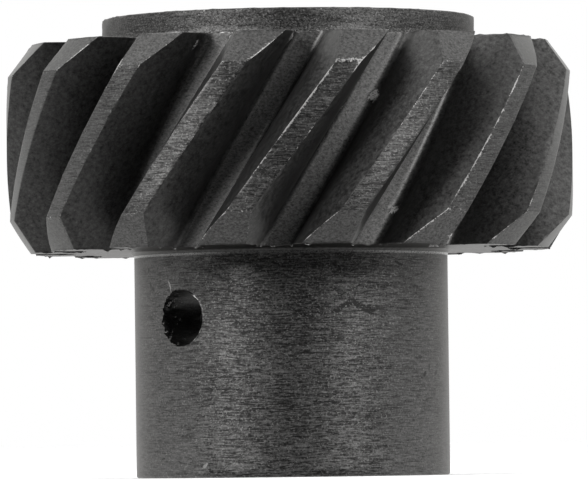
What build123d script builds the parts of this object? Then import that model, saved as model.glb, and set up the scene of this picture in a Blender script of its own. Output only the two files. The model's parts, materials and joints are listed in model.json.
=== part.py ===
from build123d import *
from math import acos, cos, degrees, pi, radians, sin, tan
import os

# Helical drive gear, turned, hobbed, bored and cross drilled from a single steel bar.
# All lengths are in millimetres and all angles in degrees. +Z runs up the bore, and the origin is
# the centre of the hub's lower end face. The toothed rim stands above the hub, with a short boss
# on its upper face. The cross-pin hole runs along Y through both walls of the hub.

# Driving dimensions: teeth
TEETH = 16
NORMAL_MODULE = 1.52
NORMAL_PRESSURE_ANGLE = 20.0
HELIX_ANGLE = 34.5  # right hand, at the pitch circle
OUTER_DIAMETER = 32.5
ROOT_DIAMETER = 25.0
ROOT_FILLET = 0.45
TOOTH_CLOCKING = -0.1  # degrees, of the tooth beside +X at the middle of the rim

# Driving dimensions: rim, hub and boss
FACE_WIDTH = 11.87
END_CHAMFER_RADIAL = 1.33
END_CHAMFER_AXIAL = 1.8
HUB_DIAMETER = 18.0
HUB_LENGTH = 12.93
BOSS_DIAMETER = 21.4
BOSS_HEIGHT = 1.5
HUB_FILLET = 0.35  # where the rim's lower face runs into the hub
BOSS_FILLET = 0.3  # where the rim's upper face runs into the boss
EDGE_BREAK = 0.1  # on the outer edges of the hub and the boss

# Driving dimensions: bore and cross-pin hole
BORE_DIAMETER = 11.86
BORE_CHAMFER = 0.5
PIN_HOLE_DIAMETER = 3.2
PIN_HOLE_HEIGHT = 9.05

# Heights that follow from them
RIM_BOTTOM = HUB_LENGTH
RIM_TOP = RIM_BOTTOM + FACE_WIDTH
RIM_MIDDLE = RIM_BOTTOM + FACE_WIDTH / 2
GEAR_TOP = RIM_TOP + BOSS_HEIGHT

# Gear geometry that follows from them, in the plane square to the axis
PITCH_RADIUS = TEETH * NORMAL_MODULE / cos(radians(HELIX_ANGLE)) / 2
LEAD = 2 * pi * PITCH_RADIUS / tan(radians(HELIX_ANGLE))
TRANSVERSE_TANGENT = tan(radians(NORMAL_PRESSURE_ANGLE)) / cos(radians(HELIX_ANGLE))
BASE_RADIUS = PITCH_RADIUS / (1 + TRANSVERSE_TANGENT**2) ** 0.5
OUTER_RADIUS = OUTER_DIAMETER / 2
ROOT_RADIUS = ROOT_DIAMETER / 2

# A tooth-gap cutter runs past the rim by this much at both ends and outside the teeth
CUTTER_OVERRUN = 0.6
FLANK_POINTS = 7


def involute(radius):
    """Involute function, in degrees, of the point of the flank at this radius."""
    angle = acos(BASE_RADIUS / radius)
    return degrees(tan(angle) - angle)


def gap_half_angle(radius):
    """Half the angle that the gap between two teeth spans at this radius."""
    quarter_pitch = 90 / TEETH
    return quarter_pitch - involute(PITCH_RADIUS) + involute(radius)


def polar_point(radius, angle):
    """Point of the XY plane at this radius and angle."""
    return Vector(radius * cos(radians(angle)), radius * sin(radians(angle)))


def tooth_gap_outline():
    """Section of one tooth gap, centred on +X: two involute flanks above radial ones, and a root."""
    tip_radius = OUTER_RADIUS + CUTTER_OVERRUN
    step = (tip_radius - BASE_RADIUS) / (FLANK_POINTS - 1) ** 2
    radii = [BASE_RADIUS + step * i**2 for i in range(FLANK_POINTS)]
    lower_flank = [polar_point(r, -gap_half_angle(r)) for r in radii]
    upper_flank = [polar_point(r, gap_half_angle(r)) for r in radii]
    base_angle = gap_half_angle(BASE_RADIUS)
    lower_root = polar_point(ROOT_RADIUS, -base_angle)
    upper_root = polar_point(ROOT_RADIUS, base_angle)
    with BuildSketch() as outline:
        with BuildLine():
            Spline(lower_flank)
            ThreePointArc(lower_flank[-1], Vector(tip_radius, 0), upper_flank[-1])
            Spline(upper_flank)
            Line(upper_flank[0], upper_root)
            ThreePointArc(upper_root, Vector(ROOT_RADIUS, 0), lower_root)
            Line(lower_root, lower_flank[0])
        make_face()
        corners = outline.vertices().filter_by(lambda v: abs(v.X - lower_root.X) < 1e-4)
        fillet(corners, ROOT_FILLET)
    return outline.face()


def tooth_gap_cutter():
    """Twisted solid that cuts the gap whose centre at mid face lies on +X."""
    length = FACE_WIDTH + 2 * CUTTER_OVERRUN
    twist = 360 * length / LEAD
    straight = tooth_gap_outline().moved(Location((0, 0, RIM_MIDDLE - length / 2)))
    start = straight.rotate(Axis.Z, -twist / 2)
    return Solid.extrude_linear_with_rotation(
        start,
        center=(0, 0, RIM_MIDDLE - length / 2),
        normal=(0, 0, length),
        angle=twist,
    )


def blank():
    """Turned blank: hub, rim with chamfered tooth ends, boss and bore, in one revolved section."""
    bore = BORE_DIAMETER / 2
    hub = HUB_DIAMETER / 2
    boss = BOSS_DIAMETER / 2
    chamfer_radius = OUTER_RADIUS - END_CHAMFER_RADIAL
    with BuildSketch(Plane.XZ) as section:
        with BuildLine():
            Polyline(
                (bore, BORE_CHAMFER),
                (bore + BORE_CHAMFER, 0),
                (hub - EDGE_BREAK, 0),
                (hub, EDGE_BREAK),
                (hub, RIM_BOTTOM),
                (chamfer_radius, RIM_BOTTOM),
                (OUTER_RADIUS, RIM_BOTTOM + END_CHAMFER_AXIAL),
                (OUTER_RADIUS, RIM_TOP - END_CHAMFER_AXIAL),
                (chamfer_radius, RIM_TOP),
                (boss, RIM_TOP),
                (boss, GEAR_TOP - EDGE_BREAK),
                (boss - EDGE_BREAK, GEAR_TOP),
                (bore + BORE_CHAMFER, GEAR_TOP),
                (bore, GEAR_TOP - BORE_CHAMFER),
                close=True,
            )
        make_face()
        # a corner of the section is found by its radius and its height
        fillet(section.vertices().sort_by_distance((hub, RIM_BOTTOM))[0], HUB_FILLET)
        fillet(section.vertices().sort_by_distance((boss, RIM_TOP))[0], BOSS_FILLET)
    return revolve(section.sketch, Axis.Z)


def pin_hole():
    """Cylinder that drills the cross-pin hole through both walls of the hub."""
    drill = Cylinder(PIN_HOLE_DIAMETER / 2, HUB_DIAMETER + 2 * CUTTER_OVERRUN)
    return drill.rotate(Axis.X, 90).moved(Location((0, 0, PIN_HOLE_HEIGHT)))


def helical_gear():
    """The whole gear: the blank with its tooth gaps hobbed and its cross-pin hole drilled."""
    pitch_angle = 360 / TEETH
    first_gap = TOOTH_CLOCKING + pitch_angle / 2
    cutter = tooth_gap_cutter()
    gaps = [cutter.rotate(Axis.Z, first_gap + i * pitch_angle) for i in range(TEETH)]
    return blank() - gaps - pin_hole()


os.makedirs("parts", exist_ok=True)
gear = helical_gear()
gear.label = "helical_gear"
export_step(gear, "parts/helical_gear.step")
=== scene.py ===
import json
import math

import bmesh
import bpy
import numpy as np
from mathutils import Euler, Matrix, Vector, noise


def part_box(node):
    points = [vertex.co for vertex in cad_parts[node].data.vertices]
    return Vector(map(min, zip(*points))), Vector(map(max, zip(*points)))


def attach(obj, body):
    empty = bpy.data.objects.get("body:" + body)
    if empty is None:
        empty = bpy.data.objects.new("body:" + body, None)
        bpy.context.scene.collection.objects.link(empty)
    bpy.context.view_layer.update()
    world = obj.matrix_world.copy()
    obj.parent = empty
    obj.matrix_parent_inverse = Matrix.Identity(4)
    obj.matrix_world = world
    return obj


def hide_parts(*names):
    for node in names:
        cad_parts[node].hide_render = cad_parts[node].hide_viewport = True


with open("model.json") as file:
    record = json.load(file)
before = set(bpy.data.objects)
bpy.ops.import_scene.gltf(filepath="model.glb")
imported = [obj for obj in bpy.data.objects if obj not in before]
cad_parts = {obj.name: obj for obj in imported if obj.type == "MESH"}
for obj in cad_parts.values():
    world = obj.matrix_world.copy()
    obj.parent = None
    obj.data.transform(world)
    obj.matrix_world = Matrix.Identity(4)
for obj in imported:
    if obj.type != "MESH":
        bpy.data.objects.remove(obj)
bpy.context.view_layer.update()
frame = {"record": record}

MM = 0.001

# ---------------------------------------------------------------- sizes, in millimetres and degrees
# The outside sizes come from the frame; the rest repeat the gear's drawing.
low, high = (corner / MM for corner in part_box("helical_gear"))
mounts = {mount["name"]: mount for mount in frame["record"]["mounts"]}
OUTER_R = (high.x - low.x) / 2
GEAR_TOP = high.z
BORE_R = mounts["shaft_bore"]["dims"]["r_mm"]
PIN_R = mounts["cross_pin_hole"]["dims"]["r_mm"]
PIN_Z = mounts["cross_pin_hole"]["pos_m"][2] / MM

TEETH = 16
NORMAL_MODULE = 1.52
HELIX = math.radians(34.5)
PRESSURE_TANGENT = math.tan(math.radians(20.0)) / math.cos(HELIX)
PITCH_R = TEETH * NORMAL_MODULE / math.cos(HELIX) / 2
LEAD = 2 * math.pi * PITCH_R / math.tan(HELIX)
BASE_R = PITCH_R / math.sqrt(1 + PRESSURE_TANGENT**2)
ROOT_R = 12.5
ROOT_FILLET = 0.45
CLOCKING = math.radians(-0.1)
PITCH_ANGLE = 2 * math.pi / TEETH

HUB_R = 9.0
BOSS_R = 10.7
RIM_BOTTOM = 12.93
RIM_TOP = 24.8
RIM_MIDDLE = (RIM_BOTTOM + RIM_TOP) / 2
CHAMFER_R = OUTER_R - 1.33
CHAMFER_Z = 1.8
HUB_FILLET = 0.35
BOSS_FILLET = 0.3
EDGE_BREAK = 0.1
BORE_CHAMFER = 0.5

SEED = 7

# ---------------------------------------------------------------- how finely the skin is divided
ROOT_STEPS = 2  # from the middle of a gap to its fillet
FILLET_STEPS = 5
FLANK_STEPS = 8
EDGE_STEPS = 2  # across a tooth's outer edge
SIDE_STEPS = FILLET_STEPS + FLANK_STEPS + EDGE_STEPS
LAND_STEPS = 8
TOOTH_STEPS = 2 * ROOT_STEPS + 2 * SIDE_STEPS + LAND_STEPS
RING_STEPS = TEETH * (2 * ROOT_STEPS + LAND_STEPS)
ROW_HEIGHT = 0.13
CORNER = 0.03  # size of the broken corner that every edge has
CRISP_ANGLE = math.radians(30)  # edges sharper than this are not smoothed
HUB_FILLET_STEPS = 8
PAINTED_HIGHLIGHT_FILLET_STEPS = 2  # the last steps, towards the hub, which get the lighter fillet finish: a painted highlight

LAND, CHAMFER, FLANK, ROOT, FACE, FILLET, HUB, BOSS, BORE = range(9)


def involute(radius):
    """Involute function of the flank's point at this radius."""
    t = math.sqrt((radius / BASE_R) ** 2 - 1)
    return t - math.atan(t)


def half_tooth(radius):
    """Half the angle that a tooth spans at this radius. Below the base circle its sides are radial."""
    return PITCH_ANGLE / 4 + involute(PITCH_R) - involute(max(radius, BASE_R))


def tip_radius(z):
    """Outside radius of the teeth at this height, which the chamfers at both ends reduce."""
    to_end = min(z - RIM_BOTTOM, RIM_TOP - z)
    return OUTER_R - (OUTER_R - CHAMFER_R) * max(0.0, 1 - to_end / CHAMFER_Z)


def twist(z):
    """How far the right-hand helix has turned at this height."""
    return 2 * math.pi * (z - RIM_MIDDLE) / LEAD


def rough(*where):
    """Smooth random value from about -1 to 1 at a place given by up to three numbers."""
    return noise.noise(Vector((*where, 0.0, 0.0)[:3]) + Vector((SEED, SEED, SEED)))


# ---------------------------------------------------------------- wear on the tooth edges
# Teeth are counted from the one beside +X. Side -1 is a tooth's left edge seen from outside with the
# hub down, and 1 its right edge. Each worn stretch is (lower height, upper height, strength).
# Bare edges are wear. The strongest stretches, above all tooth 14's left edge, also paint the glint of a
# raised burr catching the light.
WORN_AND_GLINTING_EDGES = {
    (14, -1): [(13.0, 15.2, 0.65), (16.6, 19.2, 0.8), (18.8, 22.95, 1.6)],
    (14, 1): [(21.8, 24.0, 1.1), (16.9, 20.0, 0.45), (13.0, 14.6, 0.4)],
    (0, -1): [(12.9, 20.6, 0.85), (20.9, 23.0, 0.95)],
    (0, 1): [(12.9, 13.6, 0.6)],
    (1, -1): [(13.0, 16.2, 0.7), (22.0, 23.2, 0.3)],
    (15, -1): [(12.9, 14.8, 0.7), (19.0, 22.8, 0.55)],
    (15, 1): [(20.5, 23.2, 0.35)],
    (13, 1): [(23.0, 24.8, 1.3), (17.0, 19.0, 0.3)],
    (13, -1): [(19.0, 22.0, 0.3)],
    (12, 1): [(22.6, 24.6, 0.6)],
    (12, -1): [(21.6, 23.6, 0.7)],
    (11, 1): [(22.8, 24.6, 0.8)],
    (10, 1): [(22.6, 24.0, 0.5)],
}
# Teeth whose land has a rubbed bright edge against a chamfer, each with whether it is the upper one
POLISHED_KINKS = {(14, True)}
KINK_REACH = 0.2  # how far wear spreads to each side of that edge
# Deep nicks in an edge: (tooth, side, height, half length, depth)
NICKS = [
    (14, 1, 16.9, 0.35, 0.10),
    (0, -1, 20.8, 0.14, 0.09),
    (1, -1, 18.6, 0.5, 0.10),
    (13, 1, 21.0, 0.2, 0.06),
]


def dash(lane, z):
    """Random value from about 0 to 1 that breaks a worn edge into short dashes."""
    return 0.5 + 0.9 * rough(lane + 4.7, z * 2.2) + 0.7 * rough(lane + 8.3, z * 5.3)


def edge_wear_and_glint(tooth, side, z):
    """(size of the broken corner, height of the burr, bareness) on a tooth's outer edge here. The bareness is
    wear, and on the strongest stretches also a painted glint of a burr catching the light.
    """
    lane = tooth * 3.7 + side * 1.3
    wear = 0.5 * max(0.0, rough(lane + 2.2, z * 0.35))
    for start, end, strength in WORN_AND_GLINTING_EDGES.get((tooth, side), ()):
        inside = min(z - start, end - z) / 0.25
        wear = max(wear, strength * min(1.0, max(0.0, inside)))
    bare = min(1.0, max(0.0, wear * (0.35 + 0.9 * dash(lane, z))))
    size = CORNER * (1 + 0.4 * rough(lane, z * 1.9) + 1.3 * bare)
    burr = 0.045 * max(0.0, rough(lane + 9.1, z * 0.9) + 0.7 * rough(lane, z * 5.0)) + 0.04 * bare
    for nick_tooth, nick_side, height, half, depth in NICKS:
        if (nick_tooth, nick_side) == (tooth, side) and abs(z - height) < half:
            size += depth * (1 - abs(z - height) / half)
            burr = 0.0
    return size, burr, bare


# Small lumps of torn metal left by the hob: (tooth, side, height, radius on the flank, size)
LUMPS = [
    (15, -1, 21.25, 12.65, 0.20),
    (15, -1, 21.0, 12.95, 0.16),
    (14, 1, 20.55, 12.8, 0.18),
    (15, 1, 15.1, 12.65, 0.16),
    (0, -1, 14.9, 12.6, 0.15),
    (13, -1, 24.5, 12.8, 0.28),
    (13, 1, 24.45, 13.0, 0.24),
    (12, 1, 24.1, 13.3, 0.18),
]


def lump_height(tooth, side, radius, z):
    """How far a lump of torn metal stands out of the tooth's side at this point."""
    height = 0.0
    for lump_tooth, lump_side, lump_z, lump_r, size in LUMPS:
        if (lump_tooth, lump_side) == (tooth, side):
            away = math.hypot(z - lump_z, radius - lump_r) / (1.5 * size)
            height = max(height, size * (1 - away) * (0.75 + 0.9 * rough(radius * 7, z * 7, tooth)))
    return height


def root_fillet():
    """Polar points, angles measured from the tooth's centre, from the root circle up to the flank."""
    centre_r = ROOT_R + ROOT_FILLET
    side_angle = half_tooth(BASE_R)
    centre_angle = side_angle + math.asin(ROOT_FILLET / centre_r)
    points = []
    for i in range(FILLET_STEPS + 1):
        turn = i / FILLET_STEPS * (math.pi / 2 + side_angle - centre_angle)
        inward = centre_r - ROOT_FILLET * math.cos(turn)
        across = ROOT_FILLET * math.sin(turn)
        points.append((math.hypot(inward, across), centre_angle - math.atan2(across, inward)))
    return points


FILLET_POINTS = root_fillet()
FLANK_FOOT = FILLET_POINTS[-1][0]


def tooth_side(tooth, side, z):
    """(radius, angle from the tooth's centre, bareness) from the root circle to the start of the land."""
    tip = tip_radius(z)
    size, burr, bare = edge_wear_and_glint(tooth, side, z)
    points = [(r, a, 0.0) for r, a in FILLET_POINTS]
    for i in range(1, FLANK_STEPS + 1):
        share = 1 - (1 - i / FLANK_STEPS) ** 1.4
        radius = FLANK_FOOT + (tip - size - FLANK_FOOT) * share
        points.append((radius, half_tooth(radius), 0.0))
    for i in range(1, FILLET_STEPS + 4):
        radius, angle, _ = points[i]
        lump = lump_height(tooth, side, radius, z)
        if lump > 0:
            points[i] = (radius + 0.5 * lump, angle + 0.7 * lump / radius, 0.6)
    tip_angle = half_tooth(tip)
    corner_r = tip - 0.3 * size + 0.5 * burr
    corner_angle = tip_angle + (0.85 * burr - 0.3 * size) / tip
    points.append((corner_r, corner_angle, bare))
    points.append((tip, tip_angle - size / tip, 0.5 * bare))
    return points


def tooth_outline(tooth, z):
    """One pitch of the rim's outline at this height: (radius, angle, bareness) for each of its points."""
    root_angle = FILLET_POINTS[0][1]
    centre = CLOCKING + tooth * PITCH_ANGLE + twist(z)
    left = tooth_side(tooth, -1, z)
    right = tooth_side(tooth, 1, z)
    points = []
    for i in range(ROOT_STEPS):
        angle = -PITCH_ANGLE / 2 + (PITCH_ANGLE / 2 - root_angle) * i / ROOT_STEPS
        points.append((ROOT_R, angle, 0.0))
    points += [(r, -a, b) for r, a, b in left]
    start, end = -left[-1][1], right[-1][1]
    for i in range(1, LAND_STEPS):
        points.append((left[-1][0], start + (end - start) * i / LAND_STEPS, 0.0))
    points += reversed(right)
    for i in range(1, ROOT_STEPS):
        angle = root_angle + (PITCH_ANGLE / 2 - root_angle) * i / ROOT_STEPS
        points.append((ROOT_R, angle, 0.0))
    return [(r, a + centre, b) for r, a, b in points]


class Skin:
    """A closed surface in the making: its points in millimetres, and its faces with their zones."""

    def __init__(self):
        self.points = []
        self.bare = []
        self.faces = []
        self.zones = []

    def add(self, point, bare=0.0):
        self.points.append(point)
        self.bare.append(bare)
        return len(self.points) - 1

    def polar(self, radius, angle, z, bare=0.0):
        return self.add((radius * math.cos(angle), radius * math.sin(angle), z), bare)

    def face(self, corners, zone):
        self.faces.append(corners)
        self.zones.append(zone)

    def bridge(self, one, other, zone, skip=()):
        """Quads between two closed loops of equally many points. zone is one zone or one per step."""
        count = len(one)
        for i in range(count):
            if i in skip:
                continue
            j = (i + 1) % count
            here = zone if isinstance(zone, int) else zone[i]
            self.face((one[i], one[j], other[j], other[i]), here)

    def object(self, name, materials):
        """The finished Blender object, with normals outward and its sharp edges kept crisp."""
        mesh = bpy.data.meshes.new(name)
        scaled = np.array(self.points) * MM
        mesh.from_pydata(scaled.tolist(), [], self.faces)
        for material in materials:
            mesh.materials.append(material)
        mesh.polygons.foreach_set("material_index", self.zones)
        # The bare mark carries worn bare metal, and also painted highlights on the pin hole's lip and on the
        # brightest burred tooth edges.
        marks = mesh.attributes.new("bare", "FLOAT", "POINT")
        marks.data.foreach_set("value", self.bare)
        piece = bpy.data.objects.new(name, mesh)
        bpy.context.scene.collection.objects.link(piece)
        shell = bmesh.new()
        shell.from_mesh(mesh)
        bmesh.ops.recalc_face_normals(shell, faces=shell.faces)
        shell.to_mesh(mesh)
        shell.free()
        mesh.polygons.foreach_set("use_smooth", [True] * len(self.faces))
        mesh.set_sharp_from_angle(angle=CRISP_ANGLE)
        return piece


# ---------------------------------------------------------------- the toothed rim


def rim_heights():
    """Heights of the rim's rows: even steps, with closer rows at the ends and beside the chamfers."""
    stops = [RIM_BOTTOM, RIM_BOTTOM + CHAMFER_Z, RIM_TOP - CHAMFER_Z, RIM_TOP]
    heights = []
    for start, end in zip(stops, stops[1:]):
        first, last = start + CORNER, end - CORNER
        count = round((last - first) / ROW_HEIGHT)
        heights += [first + (last - first) * i / count for i in range(count + 1)]
        if end != RIM_TOP:
            heights.append(end)
    return heights


def kink_wear(tooth, angle, z):
    """Bareness of the edge between a tooth's land and its end chamfers, near this height."""
    upper = z > RIM_MIDDLE
    away = abs(z - (RIM_TOP - CHAMFER_Z if upper else RIM_BOTTOM + CHAMFER_Z))
    if away > KINK_REACH:
        return 0.0
    if (tooth, upper) in POLISHED_KINKS:
        return 0.52 if away < 1.5 * CORNER else 0.25
    strength = 0.33
    share = 1.0 if away < 1.5 * CORNER else 0.6
    return strength * share * min(1.0, 0.75 + 0.8 * rough(tooth, angle * 40, z))


def column_zones(z):
    """Zone of each step round one tooth's outline at this height."""
    end = z < RIM_BOTTOM + CHAMFER_Z or z > RIM_TOP - CHAMFER_Z
    outside = CHAMFER if end else LAND
    land_steps = LAND_STEPS + 2 * (EDGE_STEPS - 1)
    root_steps = ROOT_STEPS + FILLET_STEPS // 2
    flank_steps = (TOOTH_STEPS - land_steps) // 2 - root_steps
    side = [ROOT] * root_steps + [FLANK] * flank_steps
    return side + [outside] * land_steps + side[::-1]


def rim_wall(skin):
    """The rim's outside. Returns the rows of point numbers at its lower and upper ends."""
    heights = rim_heights()
    rows = []
    for z in heights:
        row = []
        for tooth in range(TEETH):
            for r, a, bare in tooth_outline(tooth, z):
                if r > OUTER_R - 0.15:
                    bare = max(bare, kink_wear(tooth, a, z))
                row.append(skin.polar(r, a, z, bare))
        rows.append(row)
    for low_row, high_row, z0, z1 in zip(rows, rows[1:], heights, heights[1:]):
        skin.bridge(low_row, high_row, column_zones((z0 + z1) / 2) * TEETH)
    return rows[0], rows[-1]


def inset_loop(skin, row, amount, z, bare, ragged=0.0, outward=1):
    """A copy of a row's outline, moved inward by amount, at height z with a ragged lift."""
    flat = np.array([skin.points[i][:2] for i in row])
    along = np.roll(flat, -1, axis=0) - np.roll(flat, 1, axis=0)
    along /= np.linalg.norm(along, axis=1)[:, None]
    inward = np.stack([-along[:, 1], along[:, 0]], axis=1)
    moved = flat + inward * amount
    loop = []
    for x, y in moved:
        tear = rough(x * 2.3, y * 2.3, z) + 0.6 * rough(x * 7, y * 7, z) - 0.05
        if math.hypot(x, y) < FLANK_FOOT + 0.5:
            tear = 1.5 * tear + 0.25
        lift = ragged * max(0.0, tear)
        loop.append(skin.add((x, y, z + outward * lift), bare * min(0.6, max(0.0, 0.9 * tear))))
    return loop


def rim_end(skin, wall_row, top):
    """One flat end of the rim, from the wall's last row to a ring at the root circle."""
    z = RIM_TOP if top else RIM_BOTTOM
    outward = 1 if top else -1
    ragged = 0.09 if top else 0.16
    corner = inset_loop(skin, wall_row, CORNER * 0.2, z - outward * 0.3 * CORNER, 1.0, ragged, outward)
    skin.bridge(wall_row, corner, column_zones(z) * TEETH)
    edge = inset_loop(skin, wall_row, CORNER * 0.7, z, 0.0)
    skin.bridge(corner, edge, FACE)
    ring = []
    for tooth in range(TEETH):
        first = tooth * TOOTH_STEPS
        column = edge[first : first + TOOTH_STEPS]
        left = column[ROOT_STEPS : ROOT_STEPS + SIDE_STEPS + 1]
        right = column[ROOT_STEPS + SIDE_STEPS + LAND_STEPS : TOOTH_STEPS - ROOT_STEPS + 1][::-1]
        land = column[ROOT_STEPS + SIDE_STEPS : ROOT_STEPS + SIDE_STEPS + LAND_STEPS + 1]
        grid = [tooth_chord(skin, left[i], right[i], z) for i in range(SIDE_STEPS)] + [land]
        for inner, outer in zip(grid, grid[1:]):
            for i in range(LAND_STEPS):
                skin.face((inner[i], inner[i + 1], outer[i + 1], outer[i]), FACE)
        ring += column[:ROOT_STEPS] + grid[0] + column[TOOTH_STEPS - ROOT_STEPS + 1 :]
    return ring


def tooth_chord(skin, one, other, z):
    """Points across a tooth's end face, on an arc between two points of its sides."""
    (x0, y0, _), (x1, y1, _) = skin.points[one], skin.points[other]
    r0, r1 = math.hypot(x0, y0), math.hypot(x1, y1)
    a0 = math.atan2(y0, x0)
    span = (math.atan2(y1, x1) - a0 + math.pi) % (2 * math.pi) - math.pi
    between = [
        skin.polar(r0 + (r1 - r0) * i / LAND_STEPS, a0 + span * i / LAND_STEPS, z)
        for i in range(1, LAND_STEPS)
    ]
    return [one, *between, other]


# ---------------------------------------------------------------- hub, boss and bore
# Below and above the rim every loop has RING_STEPS evenly spaced points, one of them on the pin hole's axis.

STEP_ANGLE = 2 * math.pi / RING_STEPS
PIN_ANGLE = -math.pi / 2
OUTER_WINDOW = 8  # half the width, in steps, of the patch round the pin hole's outer mouth
INNER_WINDOW = 12
WINDOW_HALF_HEIGHT = 2.0
HOLE_POINTS = 128
QUARTER_BORDER = HOLE_POINTS // 4  # a window's border has half as many points as a hole's ring
OUTER_MARGINS = (0.55, 0.3, 0.16, 0.06)  # of the rings round the pin hole, from its edge
INNER_MARGINS = (0.3, 0.08)


def even_loop(skin, radius, z, start, wobble=0.0, ragged=0.0, bare=0.0):
    """A closed loop of evenly spaced points, the first at grid angle number start."""
    loop = []
    for i in range(RING_STEPS):
        angle = PIN_ANGLE + (start + i) * STEP_ANGLE
        x, y = math.cos(angle), math.sin(angle)
        r = radius + wobble * rough(x * 9, y * 9, z * 3)
        lift = ragged * (rough(x * 21, y * 21, z) + 0.6 * rough(x * 60, y * 60, z))
        loop.append(skin.polar(r + 0.5 * lift, angle, z + lift, bare))
    return loop


def turned_profile():
    """(radius, height, zone, wobble, raggedness, bareness) of each loop from the rim's lower face down the
    hub, up the bore and out over the boss to the rim's upper face. Zones are those of the surface before."""
    loops = []

    def run(points, zone):
        loops.extend((r, z, zone, 0.0, 0.0, 0.0) for r, z in points)

    run([(12.3, RIM_BOTTOM), (11.2, RIM_BOTTOM), (HUB_R + HUB_FILLET, RIM_BOTTOM)], FACE)
    for i in range(1, HUB_FILLET_STEPS + 1):
        turn = math.pi / 2 * i / HUB_FILLET_STEPS
        r = HUB_R + HUB_FILLET * (1 - math.sin(turn))
        # The fillet's steps nearer the rim take the rim face's darker finish, which is painted shade. The
        # last steps towards the hub take the lighter fillet finish, a painted highlight standing in for the
        # bright floor reflected in the fillet.
        zone = FACE if i <= HUB_FILLET_STEPS - PAINTED_HIGHLIGHT_FILLET_STEPS else FILLET
        run([(r, RIM_BOTTOM - HUB_FILLET * (1 - math.cos(turn)))], zone)
    run([(HUB_R, 12.0), (HUB_R, 11.5)], HUB)
    rows = 2 * OUTER_WINDOW
    top = PIN_Z + WINDOW_HALF_HEIGHT
    run([(HUB_R, top - 2 * WINDOW_HALF_HEIGHT * i / rows) for i in range(rows + 1)], HUB)
    run([(HUB_R, z) for z in (6.0, 5.0, 4.0, 3.0, 2.0, 1.0, 0.5, EDGE_BREAK + CORNER)], HUB)
    loops.append((HUB_R - 0.2 * EDGE_BREAK, 0.6 * EDGE_BREAK, HUB, 0.02, 0.02, 0.25))
    loops.append((HUB_R - 0.6 * EDGE_BREAK, 0.2 * EDGE_BREAK, HUB, 0.02, 0.015, 0.0))
    loops.append((HUB_R - EDGE_BREAK - CORNER, 0.0, HUB, 0.0, 0.0, 0.0))
    run([(8.2, 0.0), (7.3, 0.0), (BORE_R + BORE_CHAMFER + CORNER, 0.0)], FACE)
    run([(BORE_R + BORE_CHAMFER - CORNER, CORNER), (BORE_R, BORE_CHAMFER)], BORE)
    inner_rows = QUARTER_BORDER - 2 * INNER_WINDOW
    bottom = PIN_Z - WINDOW_HALF_HEIGHT
    run([(BORE_R, z) for z in (1.5, 3.0, 5.0)], BORE)
    run([(BORE_R, bottom + 2 * WINDOW_HALF_HEIGHT * i / inner_rows) for i in range(inner_rows + 1)], BORE)
    run([(BORE_R, z) for z in (12.5, 15.0, 18.0, 21.0, 24.0, GEAR_TOP - BORE_CHAMFER)], BORE)
    run([(BORE_R + BORE_CHAMFER - CORNER, GEAR_TOP - CORNER)], BORE)
    run([(BORE_R + BORE_CHAMFER + CORNER, GEAR_TOP), (7.4, GEAR_TOP), (9.0, GEAR_TOP)], FACE)
    loops.append((BOSS_R - 0.16, GEAR_TOP, FACE, 0.0, 0.0, 0.0))
    loops.append((BOSS_R - 0.1, GEAR_TOP - 0.01, BOSS, 0.03, 0.04, 0.25))
    loops.append((BOSS_R - 0.03, GEAR_TOP - 0.07, BOSS, 0.04, 0.04, 0.25))
    for z in (0.2, 0.36, 0.52, 0.68, 0.84, 1.0, 1.1):
        loops.append((BOSS_R - 0.015, GEAR_TOP - z, BOSS, 0.03, 0.0, 0.0))
    for i in range(4):
        turn = math.pi / 2 * i / 3
        r = BOSS_R + BOSS_FILLET * (1 - math.cos(turn))
        run([(r, RIM_TOP + BOSS_FILLET * (1 - math.sin(turn)))], BOSS)
    run([(11.7, RIM_TOP), (12.4, RIM_TOP)], FACE)
    return loops


def nearest_start(skin, ring):
    """Grid angle number nearest to a ring's first point."""
    x, y, _ = skin.points[ring[0]]
    return round((math.atan2(y, x) - PIN_ANGLE) / STEP_ANGLE)


def turned_skin(skin, lower_ring, upper_ring):
    """Hub, bore and boss in one run of loops, with windows left open where the pin hole goes through."""
    start = nearest_start(skin, lower_ring)
    previous, previous_z = lower_ring, RIM_BOTTOM
    windows = {}
    for r, z, zone, wobble, ragged, bare in turned_profile():
        loop = even_loop(skin, r, z, start, wobble, ragged, bare)
        inside = max(z, previous_z) < PIN_Z + WINDOW_HALF_HEIGHT + 1e-6
        inside = inside and min(z, previous_z) > PIN_Z - WINDOW_HALF_HEIGHT - 1e-6
        skip = set()
        if inside and r in (HUB_R, BORE_R):
            half = OUTER_WINDOW if r == HUB_R else INNER_WINDOW
            for mouth in (0, 1):
                middle = mouth * RING_STEPS // 2 - start
                steps = [(middle + i) % RING_STEPS for i in range(-half, half)]
                skip.update(steps)
                ends = [(middle + i) % RING_STEPS for i in range(-half, half + 1)]
                rows = windows.setdefault((r, mouth), [])
                if not rows:
                    rows.append([previous[i] for i in ends])
                rows.append([loop[i] for i in ends])
        skin.bridge(previous, loop, zone, skip)
        previous, previous_z = loop, z
    shift = nearest_start(skin, upper_ring) - start
    turned = [previous[(i + shift) % RING_STEPS] for i in range(RING_STEPS)]
    skin.bridge(turned, upper_ring, FACE)
    return windows


def window_border(rows, rising):
    """Points round a window, from its upper left corner seen from the surface's -Y side, clockwise."""
    if rising:
        rows = rows[::-1]
    top, bottom = rows[0], rows[-1]
    right = [row[-1] for row in rows]
    left = [row[0] for row in rows]
    return top[:-1] + right[:-1] + bottom[::-1][:-1] + left[::-1][:-1]


def on_surface(x, z, radius, side):
    """Point of the hub's or the bore's surface at this x and z, on the given side in Y."""
    return (x, side * math.sqrt(radius * radius - x * x), z)


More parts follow.
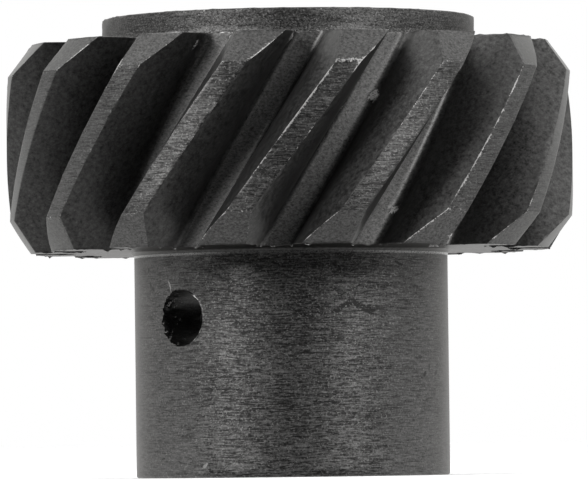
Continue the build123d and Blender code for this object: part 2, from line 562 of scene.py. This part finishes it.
def hole_radius(angle, mouth, depth):
    """Radius of the pin hole. Its mouth is torn, most of all on the left, and it gets smooth further in."""
    x, y = math.cos(angle), math.sin(angle)
    left = max(0.0, -x + 0.15)
    torn = 0.03 * rough(x * 3 + mouth * 5, y * 3, depth) + 0.02 * rough(x * 9, y * 9, depth + mouth)
    jagged = rough(angle * 4.5, depth * 3.0, mouth)
    jagged += 0.8 * rough(angle * 13.0 + depth * 6.0, depth * 7.0, mouth)
    return PIN_R + torn * math.exp(-depth / 0.5) + 0.16 * left * jagged * math.exp(-depth / 0.9)


HOLE_DEPTHS = (-0.02, 0.04, 0.12, 0.22, 0.34, 0.48, 0.64, 0.82, 1.0, 1.3, 1.7, 2.2)


def hole_bareness_and_highlight(angle, mouth, depth):
    """Bareness mark of the pin hole's lip, which on its right side is a painted highlight where the lip
    catches the light, and of the torn ridges that run down into it.
    """
    x = math.cos(angle)
    if depth < 0:
        # On the lip's right side the bareness peaks about 42 degrees above and below the middle: a painted
        # highlight where the lip catches the light. The rest of the lip gets a flat 0.30.
        painted_lip_highlight = max(0.0, math.cos(2.6 * (abs(angle) - math.radians(42)))) if x > 0.2 else 0.30
        return painted_lip_highlight * min(1.0, max(0.0, 0.55 + 1.3 * rough(angle * 3.0, 2.0, mouth)))
    ridge = rough(angle * 6.0 + depth * 4.0, depth * 1.2, mouth + 3)
    return min(0.5, max(0.0, -x + 0.1) * max(0.0, 2.4 * ridge + 0.05) * math.exp(-depth / 1.1))


def hole_skin(skin, windows, mouth):
    """The pin hole's wall on one side of the hub, with its rings on the hub and in the bore."""
    side = -1 if mouth == 0 else 1
    outer = window_border(windows[(HUB_R, mouth)], rising=False)
    inner = window_border(windows[(BORE_R, mouth)], rising=True)
    outer_ring = hole_rings(skin, outer, HUB_R, side, mouth, OUTER_MARGINS, HUB)
    inner_ring = hole_rings(skin, inner, BORE_R, side, mouth, INNER_MARGINS, BORE)
    previous = outer_ring
    wall = HUB_R - BORE_R
    for depth in (*HOLE_DEPTHS, wall - 0.12):
        ring = []
        for i in range(HOLE_POINTS):
            angle = ring_angle(i)
            reach = hole_radius(angle, mouth, max(depth, 0.0))
            x, z = -side * reach * math.cos(angle), PIN_Z + reach * math.sin(angle)
            outside = math.sqrt(HUB_R**2 - x * x)
            inside = math.sqrt(BORE_R**2 - x * x)
            share = max(depth, 0.0) / wall
            y = outside + (inside - outside) * share - min(depth, 0.0)
            lift = 0.04 * max(0.0, rough(math.cos(angle) * 4, math.sin(angle) * 4, mouth)) if depth < 0 else 0
            ring.append(skin.add((x, side * (y + lift), z), hole_bareness_and_highlight(angle, mouth, depth)))
        skin.bridge(previous, ring, BORE if depth > 0 else HUB)
        previous = ring
    skin.bridge(previous, inner_ring, BORE)


def ring_angle(i):
    """Angle of a hole ring's point, from -180 to 180 degrees and counted from the right, seen from
    outside. The first is at the upper left and the rest follow clockwise."""
    turned = math.radians(135) - 2 * math.pi * i / HOLE_POINTS
    return (turned + math.pi) % (2 * math.pi) - math.pi


def hole_rings(skin, border, radius, side, mouth, margins, zone):
    """Rings on the hub's or the bore's surface between a window's border and the pin hole's edge."""
    count = len(border)
    flat = [(skin.points[i][0], skin.points[i][2]) for i in border]
    previous = border
    for number, margin in enumerate(margins):
        ring = []
        for i in range(HOLE_POINTS):
            angle = ring_angle(i)
            reach = hole_radius(angle, mouth, 0.0) + margin
            circle = (-side * reach * math.cos(angle), PIN_Z + reach * math.sin(angle))
            ring.append(skin.add(on_surface(*circle, radius, side)))
        if number == 0:
            for i in range(count):
                j = (i + 1) % count
                corners = (border[i], border[j], ring[2 * j % HOLE_POINTS], ring[2 * i + 1], ring[2 * i])
                skin.face(corners, zone)
        else:
            skin.bridge(previous, ring, zone)
        previous = ring
    return previous


def gear_skin():
    """The whole gear as one closed skin."""
    skin = Skin()
    lower_row, upper_row = rim_wall(skin)
    lower_ring = rim_end(skin, lower_row, top=False)
    upper_ring = rim_end(skin, upper_row, top=True)
    windows = turned_skin(skin, lower_ring, upper_ring)
    for mouth in (0, 1):
        hole_skin(skin, windows, mouth)
    return skin


# ---------------------------------------------------------------- materials


class Nodes:
    """A material's node tree, built by short calls. Lengths in the patterns are in millimetres."""

    def __init__(self, name):
        self.material = bpy.data.materials.new(name)
        self.material.use_nodes = True
        self.tree = self.material.node_tree
        self.tree.nodes.clear()
        self.shader = self.node("ShaderNodeBsdfPrincipled")
        output = self.node("ShaderNodeOutputMaterial")
        self.link(self.shader.outputs[0], output.inputs["Surface"])
        place = self.node("ShaderNodeTexCoord").outputs["Object"]
        self.place = self.vector_math("SCALE", place, scale=1 / MM)

    def node(self, kind, **settings):
        made = self.tree.nodes.new(kind)
        for key, value in settings.items():
            setattr(made, key, value)
        return made

    def link(self, source, target):
        self.tree.links.new(source, target)

    def feed(self, target, value):
        """Links a socket, or sets a plain value."""
        if isinstance(value, bpy.types.NodeSocket):
            self.link(value, target)
        else:
            target.default_value = value

    def vector_math(self, operation, first, second=None, scale=None):
        made = self.node("ShaderNodeVectorMath", operation=operation)
        self.feed(made.inputs[0], first)
        if second is not None:
            self.feed(made.inputs[1], second)
        if scale is not None:
            self.feed(made.inputs["Scale"], scale)
        return made.outputs["Value" if operation in ("LENGTH", "DOT_PRODUCT") else "Vector"]

    def math(self, operation, first, second=0.0, clamp=False):
        made = self.node("ShaderNodeMath", operation=operation, use_clamp=clamp)
        for socket, value in zip(made.inputs, (first, second)):
            self.feed(socket, value)
        return made.outputs[0]

    def centred(self, value, share):
        """A value from 0 to 1, shifted to lie round 0 and scaled by share."""
        return self.math("MULTIPLY", self.math("SUBTRACT", value, 0.5), share)

    def noise(self, stretch, detail=2.0, rough=0.5, place=None, offset=0.0):
        """Noise from 0 to 1 whose grains are about 1 / stretch millimetres long on each axis."""
        where = self.vector_math("MULTIPLY", place or self.place, stretch)
        where = self.vector_math("ADD", where, (offset, offset * 1.7, offset * 0.6))
        made = self.node("ShaderNodeTexNoise")
        self.link(where, made.inputs["Vector"])
        made.inputs["Scale"].default_value = 1.0
        made.inputs["Detail"].default_value = detail
        made.inputs["Roughness"].default_value = rough
        return made.outputs["Fac"]

    def span(self, value, from_low, from_high, to_low=0.0, to_high=1.0):
        """Value mapped from one range to another and held inside it."""
        made = self.node("ShaderNodeMapRange")
        for socket, number in zip(made.inputs, (value, from_low, from_high, to_low, to_high)):
            self.feed(socket, number)
        return made.outputs[0]

    def mix(self, share, first, second):
        """Two colours mixed."""
        made = self.node("ShaderNodeMix", data_type="RGBA")
        self.feed(made.inputs[0], share)
        self.feed(made.inputs[6], first)
        self.feed(made.inputs[7], second)
        return made.outputs[2]

    def stroke(self, start, end, width):
        """1 along a straight scratch between two points, falling to 0 at its sides."""
        along = Vector(end) - Vector(start)
        away = self.vector_math("SUBTRACT", self.wandering, start)
        share = self.vector_math("DOT_PRODUCT", away, along)
        share = self.math("DIVIDE", share, along.length_squared, clamp=True)
        nearest = self.vector_math("SCALE", along, scale=share)
        distance = self.vector_math("LENGTH", self.vector_math("SUBTRACT", away, nearest))
        return self.span(distance, 0.3 * width, 0.6 * width, 1.0, 0.0)

    def strokes(self, marks, wander_scale=0.35):
        """Several scratches together: each is its radius, then azimuth and height of both ends, and width."""
        wander = self.node("ShaderNodeTexNoise")
        self.link(self.place, wander.inputs["Vector"])
        wander.inputs["Scale"].default_value = 4.0
        wander.inputs["Detail"].default_value = 2.0
        shift = self.vector_math("SUBTRACT", wander.outputs["Color"], (0.5, 0.5, 0.5))
        shift = self.vector_math("SCALE", shift, scale=wander_scale)
        self.wandering = self.vector_math("ADD", self.place, shift)
        total = 0.0
        for radius, azimuth0, z0, azimuth1, z1, width in marks:
            ends = [
                (radius * math.sin(math.radians(a)), -radius * math.cos(math.radians(a)), z)
                for a, z in ((azimuth0, z0), (azimuth1, z1))
            ]
            total = self.math("MAXIMUM", self.stroke(*ends, width), total)
        return total

    def bump(self, height, depth):
        """The surface's normal with bumps of this depth in millimetres."""
        made = self.node("ShaderNodeBump")
        self.feed(made.inputs["Height"], height)
        made.inputs["Distance"].default_value = depth * MM
        made.inputs["Strength"].default_value = 1.0
        return made.outputs["Normal"]


def grey(level):
    """A very slightly warm grey of this linear level."""
    return (level * 1.01, level, level * 0.985, 1.0)


DARKEST, LIGHTEST = 0.38, 2.7  # of a finish's texture, as shares of its mean grey
MEAN_SHARE = 0.27  # where the mean lies between them
BARE_AND_HIGHLIGHT_GREYS = (0.20, 0.40)  # of bare metal, and of the painted highlights that share its mark, which vary between these
WEAR_AND_HIGHLIGHT_FROM, WEAR_AND_HIGHLIGHT_TO = 0.40, 0.62  # bareness at which the bare grey starts to show, and shows fully
FLOOR_BOUNCE_HEIGHT = 8.0  # height up to which the hub is painted lighter towards the floor: painted light standing in for light thrown up from the floor

# Single scratches and dents: radius, azimuth and height of one end and of the other, and width.
HUB_SCRATCHES = [
    (HUB_R, -4.2, 10.1, -6.8, 11.25, 0.09),
    (HUB_R, 10.2, 0.65, 11.0, 0.8, 0.16),
    (HUB_R, 62.5, 9.5, 64.0, 9.65, 0.04),
]
HUB_DENTS = [
    (HUB_R, -23.5, 11.75, -23.0, 11.7, 0.22),
    (HUB_R, -20.5, 11.8, -20.0, 11.85, 0.24),
    (HUB_R, -19.0, 11.05, -18.2, 10.9, 0.20),
    (HUB_R, -16.8, 10.75, -16.3, 10.7, 0.18),
    (HUB_R, 60.5, 9.35, 66.0, 9.85, 0.34),
    (HUB_R, 66.0, 9.85, 74.5, 9.25, 0.38),
    (HUB_R, 100.5, 5.7, 101.0, 5.8, 0.22),
    (HUB_R, 103.5, 6.1, 103.8, 6.2, 0.16),
    (HUB_R, 109.0, 5.8, 109.5, 5.85, 0.24),
    (HUB_R, 85.0, 12.1, 88.0, 11.9, 0.16),
    (HUB_R, 12.5, 0.45, 13.5, 0.35, 0.16),
]
LAND_SCRATCHES = [(16.25, 51.0, 22.5, 52.0, 22.15, 0.06), (16.25, 51.6, 22.65, 52.5, 22.35, 0.05)]
ROOT_SCRATCHES = [
    (13.0, 32.2, 19.9, 32.4, 20.3, 0.06),
    (13.0, 32.8, 19.6, 33.1, 19.8, 0.07),
    (12.6, 47.5, 15.4, 52.0, 16.2, 0.04),
    (12.6, 75.5, 19.0, 76.2, 19.4, 0.04),
]
FLANK_SCRATCHES = [
    (14.2, 24.6, 19.75, 24.9, 20.15, 0.05),
    (14.6, 15.0, 16.6, 17.5, 17.1, 0.05),
    (14.6, 16.0, 17.6, 18.5, 17.3, 0.04),
    (14.6, 3.0, 20.8, 4.5, 20.1, 0.04),
    (14.4, 70.5, 21.8, 71.5, 20.9, 0.04),
    (14.4, 84.0, 19.6, 85.5, 19.9, 0.05),
]


def steel(
    name,
    level,
    contrast,
    rough,
    lines=0.0,
    speck=1.0,
    grain=(6.0, 6.0, 9.0),
    depth=0.003,
    calm=True,
    scratches=(),
    dents=(),
    rim_tint=1.0,
    faced=False,
    floor_bounce_light=0.0,
):
    """Blackened steel. level is its mean grey, and contrast how far its texture strays from that, as a
    share. The texture is a fine grain, mixed with turning lines in the share called lines, and specks.
    depth is the depth of its bumps in millimetres. Where the grain is set to fade, it and its glints fade as
    the surface turns away from the view: painted light, standing in for the lighting that hides them there.
    rim_tint darkens it there when under 1. A faced one has rings round the axis, and the floor-bounce weight
    paints a surface lighter towards the floor: painted light, standing in for light thrown up from the floor."""
    n = Nodes(name)
    broad = n.noise((0.4, 0.4, 0.4), detail=3.0, rough=0.6)
    fine = n.noise(grain, detail=2.0, rough=0.75, offset=5.0)
    specks = n.noise((9.0, 9.0, 11.0), detail=1.0, rough=0.6, offset=31.0)
    texture = n.math("ADD", n.centred(fine, 1 - lines), n.centred(broad, 0.16))
    if faced:
        radius = n.vector_math("LENGTH", n.vector_math("MULTIPLY", n.place, (1.0, 1.0, 0.0)))
        outward = n.vector_math("SCALE", (1, 0, 0), scale=radius)
        rings = n.noise((5.0, 0.0, 0.0), detail=2.0, rough=0.8, place=outward)
        texture = n.math("ADD", texture, n.centred(rings, 0.55))
    if lines > 0:
        feed = n.noise((1.3, 1.3, 13.0), detail=2.0, rough=0.75, offset=9.0)
        crest = n.noise((0.35, 0.35, 6.0), detail=1.0, rough=0.5, offset=17.0)
        cut = n.span(n.math("ABSOLUTE", n.centred(crest, 1.0)), 0.0, 0.022, 1.0, 0.0)
        texture = n.math("ADD", texture, n.centred(feed, lines))
        texture = n.math("SUBTRACT", texture, n.math("MULTIPLY", cut, 0.30 * lines))
    glint = n.span(specks, 0.60, 0.75, 0.0, 0.30 * speck)
    pit = n.span(specks, 0.27, 0.36, 0.10 * speck, 0.0)
    texture = n.math("SUBTRACT", n.math("ADD", texture, glint), pit)
    # Painted light: the grain, its glints and its bumps fade where the surface turns away from the view,
    # standing in for lighting that hides them there.
    if calm:
        turned_away = n.node("ShaderNodeLayerWeight")
        turned_away.inputs["Blend"].default_value = 0.5
        view_fade = n.span(turned_away.outputs["Facing"], 0.10, 0.26, 1.0, 0.5)
        texture = n.math("MULTIPLY", texture, view_fade)
    if dents:
        texture = n.math("SUBTRACT", texture, n.math("MULTIPLY", n.strokes(dents, 0.2), 0.14))
    middle = MEAN_SHARE
    # Painted light: the surface is made lighter towards the floor, standing in for light thrown up from the
    # floor.
    if floor_bounce_light:
        height = n.vector_math("DOT_PRODUCT", n.place, (0.0, 0.0, 1.0))
        middle = n.span(height, 0.0, FLOOR_BOUNCE_HEIGHT, middle + floor_bounce_light, middle)
    share = n.math("ADD", n.math("MULTIPLY", texture, 2.4 * contrast), middle, clamp=True)
    colour = n.mix(share, grey(DARKEST * level), grey(LIGHTEST * level))
    # The bare mark and the scratches turn the colour to a lighter bare-steel grey. This is wear, and on the
    # pin hole's lip and the brightest burred edges it is also a painted highlight.
    mark = n.node("ShaderNodeAttribute", attribute_name="bare")
    bare_and_highlight = n.math("ADD", mark.outputs["Fac"], n.centred(specks, 1.2))
    wear_and_highlight = n.span(bare_and_highlight, WEAR_AND_HIGHLIGHT_FROM, WEAR_AND_HIGHLIGHT_TO)
    if scratches:
        wear_and_highlight = n.math("MAXIMUM", wear_and_highlight, n.math("MULTIPLY", n.strokes(scratches), 0.55))
    colour = n.mix(wear_and_highlight, colour, n.mix(broad, *map(grey, BARE_AND_HIGHLIGHT_GREYS)))
    n.link(colour, n.shader.inputs["Base Color"])
    n.link(n.span(wear_and_highlight, 0.0, 1.0, 0.9, 0.4), n.shader.inputs["Metallic"])
    roughness = n.span(texture, -0.2, 0.2, rough - 0.06, rough + 0.06)
    n.link(n.span(wear_and_highlight, 0.0, 1.0, roughness, 0.3), n.shader.inputs["Roughness"])
    n.link(n.bump(texture, depth), n.shader.inputs["Normal"])
    n.shader.inputs["Specular Tint"].default_value = grey(rim_tint)
    return n.material


def gear_materials():
    """One steel finish for each zone, in the zones' order."""
    return [
        steel("land_steel", 0.061, 1.15, 0.42, lines=0.6, depth=0.006, scratches=LAND_SCRATCHES),
        steel("chamfer_steel", 0.069, 0.48, 0.40, speck=0.5, calm=False),
        steel(
            "flank_steel",
            0.055,
            0.42,
            0.48,
            grain=(4.0, 4.0, 4.0),
            speck=0.6,
            calm=False,
            scratches=FLANK_SCRATCHES,
        ),
        # The roots get a lighter grey than the flanks: painted light, standing in for the light the gap
        # floors catch from the front.
        steel("root_steel", 0.074, 0.50, 0.48, speck=0.6, depth=0.006, calm=False, scratches=ROOT_SCRATCHES),
        steel("face_steel", 0.036, 0.60, 0.42, speck=0.4, depth=0.006, calm=False, faced=True, rim_tint=0.9),
        # A lighter grey than the hub, for the fillet's last steps: a painted highlight standing in for the
        # floor reflected there.
        steel("fillet_steel", 0.105, 0.40, 0.28, lines=0.3, speck=0.0, calm=False),
        steel(
            "hub_steel",
            0.064,
            1.50,
            0.42,
            lines=0.6,
            floor_bounce_light=0.13,
            depth=0.006,
            scratches=HUB_SCRATCHES,
            dents=HUB_DENTS,
            rim_tint=0.84,
        ),
        steel(
            "boss_steel",
            0.054,
            1.15,
            0.48,
            lines=0.3,
            grain=(7.0, 7.0, 11.0),
            depth=0.014,
            calm=False,
            rim_tint=0.75,
        ),
        steel("bore_steel", 0.040, 0.60, 0.45, lines=0.5, calm=False),
    ]


# ---------------------------------------------------------------- camera, floor and lights

CAMERA_AZIMUTH = math.radians(44.0)
CAMERA_DISTANCE = 389.0
CAMERA_HEIGHT = 1.94
CAMERA_LENS = 414.6
AIM_HEIGHT = 13.46
AIM_RIGHT = 0.19
CAMERA_ROLL = math.radians(-0.7)

SOFTBOX_AZIMUTH = 44  # degrees to each side of the camera
SOFTBOX_ELEVATION = 24.5
SOFTBOX_DISTANCE = 300
SOFTBOX_SIZE = (90, 150)
LEFT_POWER, RIGHT_POWER = 0.80, 0.63
# World light: from and to, in the cosine to the camera's side, then its strength at each
SIDE_LIGHT = (0.1, 0.68, 1.18, 0.093)
OVERHEAD_LIGHT = (0.0, 1.0, 1.0, 1.38)  # the same for height above the floor
FLOOR_HALF = 4.0  # metres


def around(azimuth, distance, height):
    """A point round the gear's axis, in metres. Azimuth 0 is on -Y and 90 degrees on +X."""
    return Vector((math.sin(azimuth), -math.cos(azimuth), 0)) * distance * MM + Vector((0, 0, height * MM))


def add_camera():
    """A long lens just above the floor, looking slightly up at the teeth."""
    data = bpy.data.cameras.new("camera")
    data.lens = CAMERA_LENS
    data.sensor_width = 36.0
    data.clip_start, data.clip_end = 0.01, 20.0
    camera = bpy.data.objects.new("camera", data)
    bpy.context.scene.collection.objects.link(camera)
    camera.location = around(CAMERA_AZIMUTH, CAMERA_DISTANCE, CAMERA_HEIGHT)
    right = Vector((math.cos(CAMERA_AZIMUTH), math.sin(CAMERA_AZIMUTH), 0))
    aim = Vector((0, 0, AIM_HEIGHT * MM)) + right * AIM_RIGHT * MM
    turn = (aim - camera.location).to_track_quat("-Z", "Y").to_matrix()
    roll = Euler((0, 0, CAMERA_ROLL)).to_matrix()
    camera.rotation_euler = (turn @ roll).to_euler()
    bpy.context.scene.camera = camera


def add_softbox(name, azimuth, power):
    """A rectangular light facing the gear's middle, placed relative to the camera's side."""
    data = bpy.data.lights.new(name, "AREA")
    data.shape = "RECTANGLE"
    data.size, data.size_y = (length * MM for length in SOFTBOX_SIZE)
    data.energy = power
    lamp = bpy.data.objects.new(name, data)
    bpy.context.scene.collection.objects.link(lamp)
    turn = CAMERA_AZIMUTH + math.radians(azimuth)
    rise = math.radians(SOFTBOX_ELEVATION)
    centre = Vector((0, 0, RIM_MIDDLE * MM))
    height = RIM_MIDDLE + SOFTBOX_DISTANCE * math.sin(rise)
    lamp.location = around(turn, SOFTBOX_DISTANCE * math.cos(rise), height)
    lamp.rotation_euler = (centre - lamp.location).to_track_quat("-Z", "Y").to_euler()


def add_floor():
    """A plain pale floor under the hub, which the metal doesn't reflect."""
    mesh = bpy.data.meshes.new("floor")
    corners = [(x * FLOOR_HALF, y * FLOOR_HALF, 0) for x, y in ((-1, -1), (1, -1), (1, 1), (-1, 1))]
    mesh.from_pydata(corners, [], [(0, 1, 2, 3)])
    floor = bpy.data.objects.new("floor", mesh)
    bpy.context.scene.collection.objects.link(floor)
    paper = bpy.data.materials.new("white_paper")
    paper.use_nodes = True
    shader = paper.node_tree.nodes["Principled BSDF"]
    shader.inputs["Base Color"].default_value = (0.9, 0.9, 0.9, 1)
    shader.inputs["Roughness"].default_value = 0.8
    shader.inputs["Specular IOR Level"].default_value = 0.1
    mesh.materials.append(paper)
    floor.visible_glossy = False


def add_world():
    """White all round for the background; for lighting, dimmer on the camera's side and brighter overhead."""
    world = bpy.data.worlds.new("studio")
    bpy.context.scene.world = world
    world.use_nodes = True
    nodes, links = world.node_tree.nodes, world.node_tree.links
    nodes.clear()
    output = nodes.new("ShaderNodeOutputWorld")
    place = nodes.new("ShaderNodeTexCoord")
    facing = nodes.new("ShaderNodeVectorMath")
    facing.operation = "DOT_PRODUCT"
    facing.inputs[1].default_value = around(CAMERA_AZIMUTH, 1 / MM, 0)
    links.new(place.outputs["Generated"], facing.inputs[0])
    ramp = nodes.new("ShaderNodeMapRange")
    links.new(facing.outputs["Value"], ramp.inputs[0])
    for socket, value in zip(ramp.inputs[1:5], SIDE_LIGHT):
        socket.default_value = value
    rise = nodes.new("ShaderNodeSeparateXYZ")
    links.new(place.outputs["Generated"], rise.inputs[0])
    overhead = nodes.new("ShaderNodeMapRange")
    links.new(rise.outputs["Z"], overhead.inputs[0])
    for socket, value in zip(overhead.inputs[1:5], OVERHEAD_LIGHT):
        socket.default_value = value
    both = nodes.new("ShaderNodeMath")
    both.operation = "MULTIPLY"
    links.new(ramp.outputs[0], both.inputs[0])
    links.new(overhead.outputs[0], both.inputs[1])
    light = nodes.new("ShaderNodeBackground")
    links.new(both.outputs[0], light.inputs["Strength"])
    light.inputs["Color"].default_value = (1, 1, 1, 1)
    seen = nodes.new("ShaderNodeBackground")
    seen.inputs["Color"].default_value = (1, 1, 1, 1)
    path = nodes.new("ShaderNodeLightPath")
    mix = nodes.new("ShaderNodeMixShader")
    links.new(path.outputs["Is Camera Ray"], mix.inputs[0])
    links.new(light.outputs[0], mix.inputs[1])
    links.new(seen.outputs[0], mix.inputs[2])
    links.new(mix.outputs[0], output.inputs["Surface"])


gear = gear_skin().object("gear_body", gear_materials())
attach(gear, "root")
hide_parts("helical_gear")
add_floor()
add_world()
add_softbox("softbox_left", -SOFTBOX_AZIMUTH, LEFT_POWER)
add_softbox("softbox_right", SOFTBOX_AZIMUTH, RIGHT_POWER)
add_camera()
bpy.context.scene.view_settings.view_transform = "Standard"
